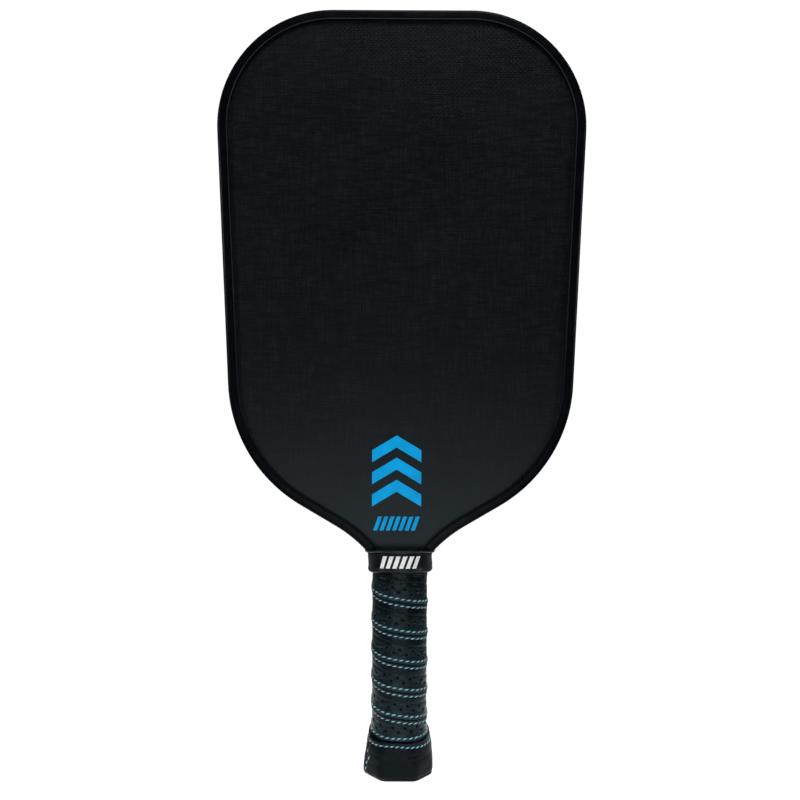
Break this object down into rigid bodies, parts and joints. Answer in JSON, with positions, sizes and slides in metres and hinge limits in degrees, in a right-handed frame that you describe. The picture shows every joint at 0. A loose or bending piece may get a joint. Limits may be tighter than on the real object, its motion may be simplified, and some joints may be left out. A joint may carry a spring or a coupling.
{
  "type": "pickleball paddle",
  "caption": "Elongated pickleball paddle with a carbon-faced honeycomb head, an edge guard, a taped eight-sided handle with a flared butt, and a rubber collar that slides on the handle.",
  "frame": {"origin": "centre of the flat end face of the butt cap, on the handle's axis", "axes": "+Z along the handle to the top of the head, +X to the right of the front face, the front face looks along -Y"},
  "size_m": [0.1968, 0.0368, 0.4064],
  "materials": {
    "honeycomb_polymer": "matte",
    "edge_foam": "matte",
    "carbon_face": "matte",
    "guard_polymer": "satin",
    "handle_shell": "matte",
    "cap_plastic": "satin",
    "grip_leather": "satin",
    "finishing_vinyl": "satin",
    "collar_rubber": "satin",
    "stitch_thread": "satin",
    "blue_ink": "satin",
    "pale_ink": "satin"
  },
  "bodies": {
    "paddle": {"honeycomb_core": "honeycomb_polymer", "perimeter_foam": "edge_foam", "front_face_sheet": "carbon_face", "rear_face_sheet": "carbon_face", "edge_guard": "guard_polymer", "handle_pallet_front": "handle_shell", "handle_pallet_rear": "handle_shell", "butt_cap": "cap_plastic", "butt_band": "grip_leather", "grip_tape": "grip_leather", "finishing_tape": "finishing_vinyl"},
    "collar": {"grip_collar": "collar_rubber"}
  },
  "joints": [
    {"name": "collar_slide", "type": "slide", "parent": "paddle", "child": "collar", "axis": [0, 0, -1], "range_m": [0, 0.078]}
  ]
}
